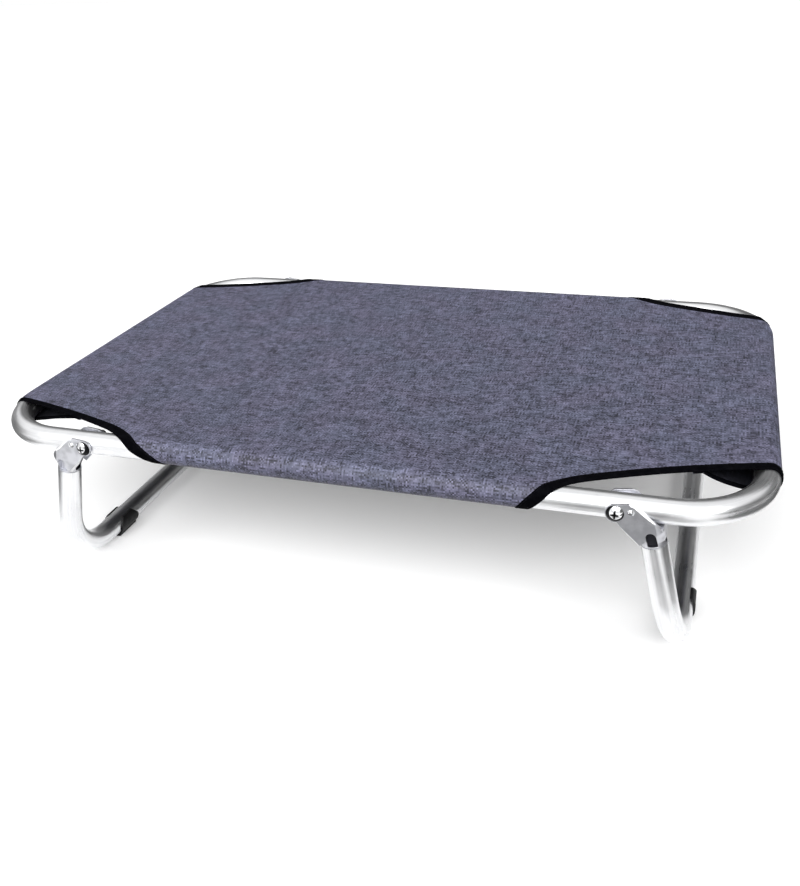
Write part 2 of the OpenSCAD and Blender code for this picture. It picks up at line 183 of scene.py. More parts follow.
def mixed(factor, first, second, blend="MIX"):
    source = next(part for part in (factor, first, second) if isinstance(part, Wire))
    settings = {"data_type": "RGBA", "blend_type": blend}
    return source.node("ShaderNodeMix", settings, {0: factor, 6: first, 7: second}, 2)


def most(first, second):
    return first.maths("MAXIMUM", first, second)


def least(first, second):
    return first.maths("MINIMUM", first, second)


def isUnder(first, second):
    return first.maths("LESS_THAN", first, second)


def isOver(first, second):
    return first.maths("GREATER_THAN", first, second)


def distance(first, second):
    return first.maths("SQRT", first * first + second * second)


def bump(shader, height, depth, strength):
    values = {"Height": height, "Distance": depth, "Strength": strength}
    feed(shader, "Normal", height.node("ShaderNodeBump", {}, values))


def wave(angle):
    return angle.maths("SINE", angle)


def objectPlace(start):
    return start.node("ShaderNodeTexCoord", {}, {}, "Object")


def flatPlace(start):
    # the piece's own flat map, in mm
    return stretch(start.node("ShaderNodeUVMap", {"uv_map": "flatCut"}, {}), (1000, 1000, 0))


# Levels of a noise between which one look gives way to another
patchShare = (0.3, 0.7)

# Heathered cloth: a plain weave of mottled yarns; each yarn changes tone along its length. Lengths in mm
heather = {
    "grey": (0.088, 0.093, 0.139, 1),
    "plum": (0.094, 0.092, 0.139, 1),
    "mottle": 70.0,
    "cloud": 26.0,
    "cloudDepth": 1.1,
    "yarn": 1.95,
    "slub": (12.0, 9.0),
    "slubDepth": 5.0,
    "yarnStep": (7.31, 5.17),
    "warpLayer": 9.5,
    "onTop": (-0.35, 0.15),
    "hueShare": (0.36, 0.64),
    "palest": 2.2,
    "darkest": 0.25,
    # share of the cloth's tone on its back: a dark coated back, darker still as painted shade inside the
    # sleeves
    "darkBackAndShade": 0.07,
    "rough": 0.55,
    "shine": 0.35,
    "bump": (0.00020, 0.6),
}


def makeHeather(look, name, shade):
    fixed = {"Roughness": look["rough"], "Specular IOR Level": look["shine"]}
    material, shader, start = startMaterial(name, fixed)
    flat = flatPlace(start)
    along, across, _ = split(flat)
    yarn = look["yarn"]
    row = across.maths("FLOOR", across / yarn)
    column = across.maths("FLOOR", along / yarn)
    weft = noise(join(along / look["slub"][0], row * look["yarnStep"][0])) - 0.5
    warp = noise(join(column * look["yarnStep"][1], across / look["slub"][1], look["warpLayer"])) - 0.5
    ridge = wave(along * (math.pi / yarn)) * wave(across * (math.pi / yarn))
    onTop = ease(ridge, *look["onTop"])
    slub = weft * onTop + warp * (1.0 - onTop)
    cloud = patches(flat, 1 / look["cloud"]) - 0.5
    tone = 1.0 + look["slubDepth"] * slub + look["cloudDepth"] * cloud
    tone = least(most(tone, look["darkest"]), look["palest"])
    hue = ease(patches(flat, 1 / look["mottle"]), *look["hueShare"])
    feed(shader, "Base Color", mixed(1.0, mixed(hue, look["plum"], look["grey"]), tone * shade, "MULTIPLY"))
    bump(shader, abs(ridge) + slub, *look["bump"])
    return material


cloth = makeHeather(heather, "heatherCloth", 1.0)
# the back of the cloth: a dark coated back, darker still as painted shade for the insides of the sleeves
backing = makeHeather(heather, "clothBacking", heather["darkBackAndShade"])

# Black binding tape: cross ribs along the tape's own map, in mm, and the thread that holds it
tapeLook = {
    "black": (0.0011, 0.0011, 0.0018, 1),
    "worn": (0.0034, 0.0034, 0.0046, 1),
    "rib": 1.1,
    "wear": 9.0,
    "wornShare": (0.35, 0.75),
    "thread": (2.0, 0.25, 0),
    "rough": 0.95,
    "shine": 0.02,
    "bump": (0.0002, 0.5),
}


def makeTapeFinish(look, name, lift):
    fixed = {"Roughness": look["rough"], "Specular IOR Level": look["shine"] * lift}
    material, shader, start = startMaterial(name, fixed)
    flat = flatPlace(start)
    along, _, _ = split(flat)
    rub = patches(flat, 1 / look["wear"])
    thread = noise(stretch(flat, look["thread"]))
    worn = ease(rub + 0.4 * (thread - 0.5), *look["wornShare"])
    tone = mixed(worn, look["black"], look["worn"])
    feed(shader, "Base Color", mixed(1.0, tone, (lift, lift, lift, 1), "MULTIPLY"))
    ribs = wave(along * (2 * math.pi / look["rib"]))
    bump(shader, ribs * 0.5 + thread, *look["bump"])
    return material


tapeFinish = makeTapeFinish(tapeLook, "bindingTape", 1.0)
threadFinish = makeTapeFinish(tapeLook, "bindingThread", 3.0)
print("cloth finishes made")

# Cover: how the cloth is laid, and how finely it is meshed
coverCut = {
    "thickness": 0.0009,
    "clearance": 0.0008,
    "easeInset": 0.060,
    "hemWidth": 0.010,
    "hemDrop": 0.0019,
    "sag": 0.002,
    "turnOnPanel": 0.030,
    "turnOnTube": 0.0186,
    "turnPull": 0.008,
    "middleColumns": 96,
    "endColumns": 40,
    "rows": 96,
    "bowSteps": 20,
    "bellySteps": 14,
    "hemSteps": 2,
    "sleeveSamples": 120,
    "panelSamples": 80,
    "turnSamples": 40,
    "edgeSamples": 300,
}
clothRadius = tubeRadius + coverCut["clearance"]

# Sleeves: distance of the seam from the tube's axis, and the point towards which the underside pulls,
# inwards and below the axis; the left end is drawn tighter than the right one
sleeves = {
    "left": {"seamInset": 0.100, "pullInset": 0.006, "pullDrop": 0.0120},
    "right": {"seamInset": 0.064, "pullInset": 0.040, "pullDrop": 0.0060},
    "long": {"seamInset": 0.080, "pullInset": 0.010, "pullDrop": 0.0140},
}

# Corner cut-outs, each as it was sewn: reach along the end and side tubes, arc, how far the edge of the
# long sleeve runs back under the tube, and how much of the tape shows at the end and side tubes
cornerCuts = {
    "left_front": {"atEnd": 0.0585, "atSide": 0.1860, "radius": 0.966,
                   "setback": 0.050, "tape": (0.0070, 0.0118)},
    "right_front": {"atEnd": 0.0820, "atSide": 0.2045, "radius": 0.857,
                    "setback": 0.029, "tape": (0.0110, 0.0122)},
    "left_rear": {"atEnd": 0.0580, "atSide": 0.1730, "radius": 0.850,
                  "setback": 0.045, "tape": (0.0145, 0.0140)},
    "right_rear": {"atEnd": 0.0480, "atSide": 0.1680, "radius": 0.850,
                   "setback": 0.045, "tape": (0.0150, 0.0145)},
}


def sleeveProfile(sleeve, make):
    # section of a sleeve: half a turn round the tube, a parabola up to the seam, then the flat hem
    turn = np.linspace(0, np.pi, make["bowSteps"] + 1)
    bow = clothRadius * np.stack([np.sin(turn), np.cos(turn)], 1)
    t = np.linspace(0, 1, make["bellySteps"] + 1)[1:, None]
    pull = np.array([-sleeve["pullInset"], -sleeve["pullDrop"]])
    seam = np.array([-sleeve["seamInset"], clothRadius - make["hemDrop"]])
    belly = (1 - t) ** 2 * bow[-1] + 2 * t * (1 - t) * pull + t ** 2 * seam
    back = np.linspace(0, make["hemWidth"], make["hemSteps"] + 1)[1:, None]
    points = np.concatenate([bow, belly, seam - back * [1, 0]])
    length = np.concatenate([[0], np.cumsum(np.linalg.norm(np.diff(points, axis=0), axis=1))])
    run = np.gradient(points, length, axis=0)
    run[0] = (1, 0)
    run /= np.linalg.norm(run, axis=1)[:, None]
    return {"length": length, "out": points[:, 0], "up": points[:, 1],
            "faceOut": -run[:, 1], "faceUp": run[:, 0]}


profiles = {name: sleeveProfile(sleeve, coverCut) for name, sleeve in sleeves.items()}


def onProfile(past, name):
    profile = profiles[name]
    return [np.interp(past, profile["length"], profile[key]) for key in ("out", "up", "faceOut", "faceUp")]


def onEnd(along):
    # section of the left or the right sleeve, by the side on which a point lies
    past = np.maximum(np.abs(along) - halfLength, 0)
    pairs = zip(onProfile(past, "left"), onProfile(past, "right"))
    return [np.where(along < 0, left, right) for left, right in pairs]


def bendIn(across):
    # how far the end tube has turned inwards at a place across the cot
    past = np.clip(np.abs(across) - halfWidth + ringBend, 0, ringBend / 2)
    return ringBend - np.sqrt(ringBend ** 2 - past ** 2)


def onCloth(along, across, lift):
    # flat cut to space: level inside the ring, with a slight sag; what reaches past a tube's axis
    # follows the sleeve's section, which keeps to the tube where it turns in at the corners;
    # lift is the height off the middle of the cloth
    outX, upX, faceX, riseX = onEnd(along)
    outY, upY, faceY, riseY = onProfile(np.maximum(np.abs(across) - halfWidth, 0), "long")
    slack = np.clip(1 - (along / halfLength) ** 2, 0, 1) * np.clip(1 - (across / halfWidth) ** 2, 0, 1)
    inset = np.maximum(halfLength - np.abs(along), 0) + np.maximum(-outX, 0)
    outX = outX - bendIn(across) * np.clip(1 - inset / coverCut["easeInset"], 0, 1)
    x = np.sign(along) * (np.minimum(np.abs(along), halfLength) + outX + faceX * lift)
    y = np.sign(across) * (np.minimum(np.abs(across), halfWidth) + outY + faceY * lift)
    z = ringZ + upX + upY - clothRadius + (riseX + riseY - 1) * lift - coverCut["sag"] * slack
    return np.stack(np.broadcast_arrays(x, y, z), -1)


def lengthsAlong(path):
    return np.concatenate([[0], np.cumsum(np.linalg.norm(np.diff(path, axis=0), axis=1))])


def evenly(path, count):
    step = lengthsAlong(path)
    even = np.linspace(0, step[-1], count)
    return np.stack([np.interp(even, step, path[:, 0]), np.interp(even, step, path[:, 1])], 1)


def cutEdge(corner, make):
    # edge of a corner in the flat cut: the end sleeve's edge, a wide arc, an easy turn, then the long
    # sleeve's edge
    cut = cornerCuts[corner]
    chord = math.hypot(cut["atEnd"], cut["atSide"])
    sink = math.sqrt(cut["radius"] ** 2 - chord ** 2 / 4)
    centreX = halfLength - cut["atSide"] / 2 + sink * cut["atEnd"] / chord
    centreY = halfWidth - cut["atEnd"] / 2 + sink * cut["atSide"] / chord

    def arc(x):
        return centreY - np.sqrt(cut["radius"] ** 2 - (x - centreX) ** 2)

    sleeveEnd = halfLength - cut["atSide"]
    side = corner.split("_")[0]
    past = np.linspace(0, profiles[side]["length"][-1], make["sleeveSamples"])
    out, _, _, _ = onProfile(past, side)
    endEdge = np.stack([halfLength + past, arc(halfLength + out)], 1)[::-1]
    panelX = np.linspace(halfLength, sleeveEnd + make["turnOnPanel"], make["panelSamples"])[1:]
    panelEdge = np.stack([panelX, arc(panelX)], 1)
    past = np.linspace(0, profiles["long"]["length"][-1], make["sleeveSamples"])
    _, up, _, _ = onProfile(past, "long")
    sideEdge = np.stack([sleeveEnd - cut["setback"] * (1 - up / clothRadius) / 2, halfWidth + past], 1)
    sideEdge = sideEdge[past > make["turnOnTube"]]
    t = np.linspace(0, 1, make["turnSamples"])[1:-1, None]
    pull = np.array([sleeveEnd + make["turnPull"], arc(sleeveEnd + make["turnPull"])])
    turn = (1 - t) ** 2 * panelEdge[-1] + 2 * t * (1 - t) * pull + t ** 2 * sideEdge[0]
    return evenly(np.concatenate([endEdge, panelEdge, turn, sideEdge]), make["edgeSamples"])


edgePaths = {corner: cutEdge(corner, coverCut) for corner in cornerCuts}


def crossing(path, axis, level):
    # place on a path where one coordinate reaches a level, counted from the end sleeve's hem
    order = slice(None, None, -1) if axis == 0 else slice(None)
    return np.interp(level, path[order, axis], path[order, 1 - axis])


def gridQuads(index):
    quads = np.stack([index[:-1, :-1], index[1:, :-1], index[1:, 1:], index[:-1, 1:]], -1)
    return quads.reshape(-1, 4)


def newMesh(name, points, faces, flat, materials):
    # faces is a list of index arrays; flat is each point's place in the flat cut, kept as a UV map
    mesh = bpy.data.meshes.new(name)
    mesh.from_pydata(points.tolist(), [], [face for block in faces for face in block.tolist()])
    for material in materials:
        mesh.materials.append(material)
    corners = np.empty(len(mesh.loops), np.int32)
    mesh.loops.foreach_get("vertex_index", corners)
    layer = mesh.uv_layers.new(name="flatCut")
    layer.uv.foreach_set("vector", flat[corners].astype(np.float32).ravel())
    mesh.polygons.foreach_set("use_smooth", np.ones(len(mesh.polygons), bool))
    mesh.validate()
    piece = bpy.data.objects.new(name, mesh)
    bpy.context.scene.collection.objects.link(piece)
    return piece


def levelEdge(corner, make):
    # part of a corner's edge that lies on the panel, from the end tube to the side tube
    path = edgePaths[corner]
    inside = (path[:, 0] < halfLength) & (path[:, 1] < halfWidth)
    first = [halfLength, crossing(path, 0, halfLength)]
    last = [crossing(path, 1, halfWidth), halfWidth]
    return evenly(np.concatenate([[first], path[inside], [last]]), make["endColumns"] + 1)


def panelRow(end, make):
    # long side of the panel, left to right: left cut, straight stretch on the tube, right cut
    left, right = levelEdge("left_" + end, make) * [-1, 1], levelEdge("right_" + end, make)[::-1]
    middle = np.linspace(left[-1], right[0], make["middleColumns"] + 1)
    row = np.concatenate([left[:-1], middle, right[1:]])
    return row * [1, -1] if end == "front" else row


def makeCover(make):
    # the panel is ruled between its two long sides; each sleeve grows from one side of the panel
    front, rear = panelRow("front", make), panelRow("rear", make)
    share = np.linspace(0, 1, make["rows"] + 1)
    flatPanel = front[:, None] * (1 - share)[:, None] + rear[:, None] * share[:, None]
    panel = np.arange(len(front) * len(share)).reshape(len(front), len(share))
    blocks, faces, count = [flatPanel.reshape(-1, 2)], [gridQuads(panel)], panel.size
    past = profiles["long"]["length"][1:]
    onTube = slice(make["endColumns"], make["endColumns"] + make["middleColumns"] + 1)
    part = np.linspace(0, 1, make["middleColumns"] + 1)
    for end, sign in (("front", -1), ("rear", 1)):
        left = -crossing(edgePaths["left_" + end], 1, halfWidth + past)
        right = crossing(edgePaths["right_" + end], 1, halfWidth + past)
        along = left[:, None] * (1 - part) + right[:, None] * part
        across = np.repeat(sign * (halfWidth + past)[:, None], len(part), 1)
        index = count + np.arange(along.size).reshape(along.shape)
        strip = gridQuads(np.concatenate([panel[onTube, -1 if sign > 0 else 0][None], index]))
        faces.append(strip[:, ::-1] if sign > 0 else strip)
        blocks.append(np.stack([along, across], -1).reshape(-1, 2))
        count += index.size
    for side, sign in (("left", -1), ("right", 1)):
        past = profiles[side]["length"][1:]
        low = -crossing(edgePaths[side + "_front"], 0, halfLength + past)
        high = crossing(edgePaths[side + "_rear"], 0, halfLength + past)
        across = low[:, None] * (1 - share) + high[:, None] * share
        along = np.repeat(sign * (halfLength + past)[:, None], len(share), 1)
        index = count + np.arange(along.size).reshape(along.shape)
        strip = gridQuads(np.concatenate([panel[-1 if sign > 0 else 0][None], index]))
        faces.append(strip if sign > 0 else strip[:, ::-1])
        blocks.append(np.stack([along, across], -1).reshape(-1, 2))
        count += index.size
    flat = np.concatenate(blocks)
    piece = newMesh("cover_cloth", onCloth(flat[:, 0], flat[:, 1], 0.0), faces, flat, [cloth, backing])
    wall = piece.modifiers.new("thickness", "SOLIDIFY")
    wall.thickness = make["thickness"]
    wall.offset = 0
    wall.material_offset = 1
    a, b, c, d = np.moveaxis(flat[np.concatenate(faces)], 1, 0)
    area = np.abs(np.cross(c - a, d - b)).sum() / 2
    reach = {name: profile["length"][-1] for name, profile in profiles.items()}
    size = (2 * (halfWidth + reach["long"]), 2 * halfLength + reach["left"] + reach["right"])
    return piece, size, float(area)


coverCloth, coverSize, coverArea = makeCover(coverCut)
print("cover cut", [round(side, 4) for side in coverSize], "m, area", round(coverArea, 4), "m2")

# Binding: a tape folded over the cut edge, with one row of stitches near its inner side
bindingMake = {
    "under": 0.0060,
    "overhang": 0.0007,
    "outer": 0.0012,
    "inner": 0.00072,
    "gap": 0.00047,
    "steps": 260,
    "endGap": 0.0008,
    "edgeRoll": 0.0006,
    "crown": 0.0001,
    "foldStart": 0.0008,
    "foldEnd": 0.0004,
    "edgeRoom": 0.0003,
    "foldRoom": 0.0001,
    "stitchFrom": 0.002,
    "stitchUpTo": 0.005,
    "stitchSides": 6,
    "stitchSink": 0.0001,
    "stitchInset": 0.0018,
    "stitchLength": 0.0026,
    "stitchPitch": 0.0036,
    "stitchRadius": 0.00030,
}


def besideEdge(corner, place, inward):
    # point of the flat cut at a length along a corner's edge, moved inwards
    sx, sy = cornerSigns[corner]
    path = edgePaths[corner]
    step = lengthsAlong(path)
    run = np.gradient(path, step, axis=0)
    run /= np.linalg.norm(run, axis=1)[:, None]
    x, y, runX, runY = (np.interp(place, step, column) for column in (*path.T, *run.T))
    return sx * (x - runY * inward), sy * (y + runX * inward)


def signedVolume(points, faces):
    total = 0.0
    for block in faces:
        a = points[block[:, 0]]
        for k in range(1, block.shape[1] - 1):
            total += np.einsum("ij,ij->i", a, np.cross(points[block[:, k]], points[block[:, k + 1]])).sum()
    return total / 6


def outwards(points, faces):
    return [block[:, ::-1] for block in faces] if signedVolume(points, faces) < 0 else faces


def tapeWidth(corner, place):
    # width of tape that shows at a length along a corner's edge, changing evenly from tube to tube
    path, cut = edgePaths[corner], cornerCuts[corner]
    x = np.interp(place, lengthsAlong(path), path[:, 0])
    return np.interp(x, [halfLength - cut["atSide"], halfLength], cut["tape"][::-1])


def makeBinding(corner, make):
    # section: outer leaf, fold over the edge, thin inner leaf, carried along the cut edge; the points of
    # the outer leaf also move inwards with the tape's width
    under, over = make["under"], -make["overhang"]
    outer, inner, gap = make["outer"], make["inner"], make["gap"]
    section = np.array([
        [0, gap], [0, outer * 0.8], [-make["edgeRoll"], outer], [0, outer + make["crown"]],
        [make["foldStart"], outer], [over * 0.6, outer * 0.75], [over, outer * 0.2],
        [over * 0.7, -inner * 0.7], [make["foldEnd"], -inner], [under * 0.5, -inner], [under, -inner],
        [under, -gap], [make["edgeRoom"], -gap], [-make["foldRoom"], 0], [make["edgeRoom"], gap],
    ])
    widens = np.array([1, 1, 1, 0.5] + [0] * (len(section) - 4))
    length = lengthsAlong(edgePaths[corner])[-1]
    place = np.linspace(make["endGap"], length - make["endGap"], make["steps"])
    inward = section[:, 0] + tapeWidth(corner, place)[:, None] * widens
    along, across = besideEdge(corner, place[:, None], inward)
    points = onCloth(along, across, section[:, 1])
    index = np.arange(along.size).reshape(along.shape)
    faces = [gridQuads(np.concatenate([index, index[:, :1]], 1)), index[:1, ::-1], index[-1:]]
    flat = np.stack(np.broadcast_arrays(place[:, None], inward + 0.5 * section[:, 1]), -1).reshape(-1, 2)
    points = points.reshape(-1, 3)
    return newMesh(corner + "_binding_tape", points, outwards(points, faces), flat, [tapeFinish])


def makeStitches(corner, make):
    # each stitch is a short thread with a few sides that rises out of the tape and sinks back
    length, sides = lengthsAlong(edgePaths[corner])[-1], make["stitchSides"]
    start = np.arange(make["stitchFrom"], length - make["stitchUpTo"], make["stitchPitch"])
    swell = np.array([0.45, 0.9, 1.0, 0.9, 0.45])
    place = start[:, None] + make["stitchLength"] * np.linspace(0, 1, len(swell))
    along, across = besideEdge(corner, place, tapeWidth(corner, place) - make["stitchInset"])
    radius = make["stitchRadius"] * swell
    centre = onCloth(along, across, make["outer"] + 0.5 * radius - make["stitchSink"])
    off = onCloth(along, across, make["outer"] + 0.001) - onCloth(along, across, make["outer"])
    off /= np.linalg.norm(off, axis=-1)[..., None]
    run = np.gradient(centre, axis=1)
    run /= np.linalg.norm(run, axis=-1)[..., None]
    aside = np.cross(run, off)
    angle = 2 * np.pi * np.arange(sides) / sides
    ring = aside[..., None, :] * np.cos(angle)[:, None] + off[..., None, :] * np.sin(angle)[:, None]
    points = (centre[..., None, :] + radius[:, None, None] * ring).reshape(-1, 3)
    index = np.arange(len(points)).reshape(len(start), len(swell), sides)
    faces = [np.concatenate([gridQuads(np.concatenate([one, one[:, :1]], 1)) for one in index]),
             index[:, 0, ::-1], index[:, -1]]
    flat = np.repeat(np.stack([place, across], -1).reshape(-1, 2), sides, 0)
    return newMesh(corner + "_binding_stitches", points, outwards(points, faces), flat, [threadFinish])


tapes = [makeBinding(corner, bindingMake) for corner in cornerSigns]
stitches = [makeStitches(corner, bindingMake) for corner in cornerSigns]
for corner, tape, row in zip(cornerSigns, tapes, stitches):
    for piece in (tape, row):
        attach(piece, "frame")
    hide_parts(corner + "_binding")
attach(coverCloth, "frame")
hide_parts("cover")
print("bindings sewn on:", len(tapes))

# Drawn aluminium tube: fine lines that follow the bends, worked out from the tube's own path
tubeLook = {
    "metal": (0.87, 0.875, 0.885, 1),
    "dull": (0.76, 0.765, 0.78, 1),
    "line": 0.0016,
    "lineLength": 0.12,
    "cloud": 22.0,
    "dullShare": (0.62, 0.38),
    "rough": (0.26, 0.36),
    "bump": (0.00003, 0.15),
}

# Leg as it stands at rest: splay in degrees, gap to the ring when folded, thickness of its feet, bend; then
# the distance of its plane from the pivot, and its reach along that plane
legMake = {"splay": 12.0, "foldGap": 0.003, "footPad": 0.003, "bend": 0.080}
legLean = math.radians(legMake["splay"])
legOffset = 2 * tubeRadius + legMake["foldGap"]
legReach = (ringZ - legMake["footPad"] - tubeRadius + legOffset * math.sin(legLean)) / math.cos(legLean)


def bentPath(a, b, cornerA, cornerB, bend):
    # distance from the middle line of a path that runs straight, turns a quarter and runs straight
    return distance(most(a - cornerA, 0.0), most(b - cornerB, 0.0)) - bend


def ringOffsets(x, y, z):
    return bentPath(abs(x), abs(y), halfLength - ringBend, halfWidth - ringBend, ringBend), z - ringZ


def alongLeg(x, z):
    # distance out of the leg's plane, and depth below the pivot along the leg
    far, high = abs(x) - pivotX, z - ringZ
    out = far * math.cos(legLean) + high * math.sin(legLean) - legOffset
    return out, far * math.sin(legLean) - high * math.cos(legLean)


def legOffsets(x, y, z):
    out, down = alongLeg(x, z)
    bend = legMake["bend"]
    return bentPath(abs(y), down, halfWidth - bend, legReach - bend, bend), out


def makeTubeFinish(name, look, offsets):
    material, shader, start = startMaterial(name, {"Metallic": 1.0})
    x, y, z = split(objectPlace(start))
    across, above = offsets(x, y, z)
    drawn = join(across / look["line"], above / look["line"], (x + y + z) / look["lineLength"])
    lines = noise(drawn, 1.0, 2.0, 0.6)
    wear = lines * 0.5 + patches(objectPlace(start), look["cloud"]) * 0.5
    feed(shader, "Base Color", mixed(ease(wear, *look["dullShare"]), look["metal"], look["dull"]))
    feed(shader, "Roughness", ease(wear, *patchShare, *look["rough"]))
    bump(shader, lines, *look["bump"])
    return material


ringFinish = makeTubeFinish("frameTube", tubeLook, ringOffsets)
legFinish = makeTubeFinish("legTube", tubeLook, legOffsets)

# Die-cast knuckle: satin grey, with painted shade in the pockets of its neck
castLook = {
    "grey": (0.63, 0.635, 0.67, 1),
    "dark": (0.46, 0.465, 0.495, 1),
    # pocket: the colour of the painted shade in the pockets
    "pocket": (0.004, 0.004, 0.009, 1),
    "cloud": 70.0,
    "grain": 900.0,
    "metallic": 0.95,
    "darkShare": (0.35, 0.65),
    "rough": (0.30, 0.42),
    "pocketRough": 0.4,
    "paintedPocketShade": (0.0004, 0.0009),
    "bump": (0.00005, 0.4),
}

# Knuckle: gap and thickness of its cheeks, how far its shoulders stand out past them, step from the neck
# to the leg, depth of the bridge, length of the taper, how far over it the pockets rise, and how far out
# on the left leg the pockets face the light and get no painted shade
castMake = {
    "gap": 0.0003,
    "cheek": 0.0030,
    "shoulderEase": 0.0012,
    "neckStep": 0.0003,
    "bridge": 0.0022,
    "taper": 0.0140,
    "pocketRise": 0.0012,
    "litFrom": 0.0040,
}
castFork = tubeRadius + castMake["gap"] + castMake["cheek"]
castShoulder = castFork + castMake["shoulderEase"]
castNeck = tubeRadius - castMake["neckStep"]
castStop = tubeRadius + castMake["gap"] + (legOffset + tubeRadius) * math.sin(legLean)
castTop = castStop / math.cos(legLean) + castMake["bridge"]
pocketTop = castTop - castMake["pocketRise"]


def makeCastFinish(look, make):
    # painted shade: a point deep in a pocket, well inside the shape that a knuckle without them would have,
    # is darkened, except on the left leg in the pockets that face the light
    material, shader, start = startMaterial("satinCasting", {})
    place = objectPlace(start)
    x, y, z = split(place)
    out, down = alongLeg(x, z)
    aside = abs(y) - halfWidth
    slope = (castShoulder - castNeck) / make["taper"]
    skinRadius = most(castShoulder - slope * (down - castTop), castNeck)
    under = least(skinRadius - distance(out, aside), castFork - abs(aside))
    under = least(under, tubeRadius - abs(out))
    lit = isUnder(x, 0.0) * isOver(aside, make["litFrom"])
    # painted shade: the pockets are darkened and lose their metal, except the left leg's pockets that face
    # the light
    paintedPocketShade = ease(under, *look["paintedPocketShade"]) * isOver(down, pocketTop) * (1.0 - lit)
    skin = noise(place, look["grain"], 2.0)
    cloud = noise(place, look["cloud"], 3.0)
    satin = mixed(ease(cloud, *look["darkShare"]), look["grey"], look["dark"])
    feed(shader, "Base Color", mixed(paintedPocketShade, satin, look["pocket"]))
    feed(shader, "Metallic", look["metallic"] * (1.0 - paintedPocketShade))
    rough = ease(skin * 0.5 + cloud * 0.5, *patchShare, *look["rough"])
    feed(shader, "Roughness", rough + look["pocketRough"] * paintedPocketShade)
    bump(shader, skin, *look["bump"])
    return material


# Edges of the castings: a painted highlight, lighter than the casting
edgeLook = {
    "bright": (0.94, 0.945, 0.96, 1),
    "rubbed": (0.86, 0.865, 0.88, 1),
    "metallic": 0.35,
    "patch": 150.0,
    "rough": (0.35, 0.50),
}


def makeMetal(look, name):
    # bare metal with patches that are more and less rubbed
    material, shader, start = startMaterial(name, {"Metallic": look["metallic"]})
    rub = patches(objectPlace(start), look["patch"])
    feed(shader, "Base Color", mixed(ease(rub, *patchShare), look["bright"], look["rubbed"]))
    feed(shader, "Roughness", ease(rub, *patchShare, *look["rough"]))
    return material


# Bright heads: mirror chrome, with painted shade in a cross recess of this half width and half length round
# each pivot, and a bright cap of this radius, off the pivot outwards and upwards, on a skirt of painted
# shade;
# rivets get painted shade below a height
chromeLook = {
    "bright": (0.86, 0.87, 0.89, 1),
    "rubbed": (0.76, 0.765, 0.78, 1),
    # dark: the colour of the painted shade on heads and rivets
    "dark": (0.010, 0.010, 0.011, 1),
    "patch": 120.0,
    "rough": (0.05, 0.12),
    "darkRough": 0.4,
    "arm": (0.0010, 0.0040),
    "cap": (0.0063, 0.0069),
    "capAt": (0.0014, 0.0022),
    "head": 0.0095,
    "rivet": (0.0027, 0.0019),
}


def makeChrome(look):
    material, shader, start = startMaterial("polishedChrome", {"Metallic": 1.0})
    place = objectPlace(start)
    rub = patches(place, look["patch"])
    x, _, z = split(place)
    far, high = abs(x) - pivotX, z - ringZ
    thin, long = look["arm"]
    # painted shade: the cross recess, a skirt round the bright cap, and the rivets below a height are
    # darkened
    upright = isUnder(abs(far), thin) * isUnder(abs(high), long)
    level = isUnder(abs(far), long) * isUnder(abs(high), thin)
    onHead = isUnder(distance(far, high), look["head"])
    paintedRimShade = ease(distance(far - look["capAt"][0], high - look["capAt"][1]), *look["cap"]) * onHead
    paintedRivetShade = ease(high, *look["rivet"]) * (1.0 - onHead)
    dark = most(most(upright, level), most(paintedRimShade, paintedRivetShade))
    bright = mixed(ease(rub, *patchShare), look["bright"], look["rubbed"])
    feed(shader, "Base Color", mixed(dark, bright, look["dark"]))
    feed(shader, "Roughness", ease(rub, *patchShare, *look["rough"]) + look["darkRough"] * dark)
    return material


# Zinc-plated steel of the hidden hardware
steelLook = {
    "bright": (0.62, 0.63, 0.65, 1),
    "rubbed": (0.50, 0.505, 0.52, 1),
    "metallic": 1.0,
    "patch": 300.0,
    "rough": (0.25, 0.42),
}

# Black rubber of the feet, a little dusty
rubberLook = {
    "black": (0.0030, 0.0030, 0.0034, 1),
    "dusty": (0.013, 0.013, 0.014, 1),
    "patch": 60.0,
    "grain": 1400.0,
    "dustShare": (0.45, 0.8),
    "rough": (0.5, 0.75),
    "shine": 0.3,
    "bump": (0.00006, 0.4),
}


def makeRubber(look):
    material, shader, start = startMaterial("footRubber", {"Specular IOR Level": look["shine"]})
    place = objectPlace(start)
    dust = noise(place, look["patch"], 4.0, 0.65)
    feed(shader, "Base Color", mixed(ease(dust, *look["dustShare"]), look["black"], look["dusty"]))
    feed(shader, "Roughness", ease(dust, *patchShare, *look["rough"]))
    bump(shader, noise(place, look["grain"]), *look["bump"])
    return material


castFinish = makeCastFinish(castLook, castMake)
chrome = makeChrome(chromeLook)
castEdge = makeMetal(edgeLook, "paintedEdgeHighlight")
steel = makeMetal(steelLook, "zincSteel")
rubber = makeRubber(rubberLook)

finishes = {"half_frame": ringFinish, "joint_spigot": ringFinish, "leg": legFinish, "knuckle": castFinish,
            "pivot_screw": chrome, "detent_rivets": chrome, "pivot_nut": steel, "pivot_washer": steel,
            "pivot_spacer": steel, "leg_rivet": steel, "foot": rubber}
for node, piece in cadNodes.items():
    for ending, finish in finishes.items():
        if node.endswith("_" + ending):
            piece.data.materials.clear()
            piece.data.materials.append(finish)
print("finishes given to the frame's nodes")

# Rounded edges of the castings and the feet: width, number of steps and slot. The cheeks' outline has a
# wider round, away from the pivot's lobe, the top and the pockets. Angles: over which an edge is rounded,
# under which faces merge, and over which an edge is shaded as sharp
rounding = {"knuckle": (0.0005, 2, "casting"), "foot": (0.0009, 2, "foot")}
outlineRound = {
    "width": 0.0022,
    "steps": 1,
    "lobe": 0.0102,
    "top": (0.0155, 0.0040),
    "pocket": 0.0056,
    "nearFace": 0.00005,
}
sharpAngle = math.radians(30)
flatAngle = math.radians(0.4)
shadeAngle = math.radians(14)


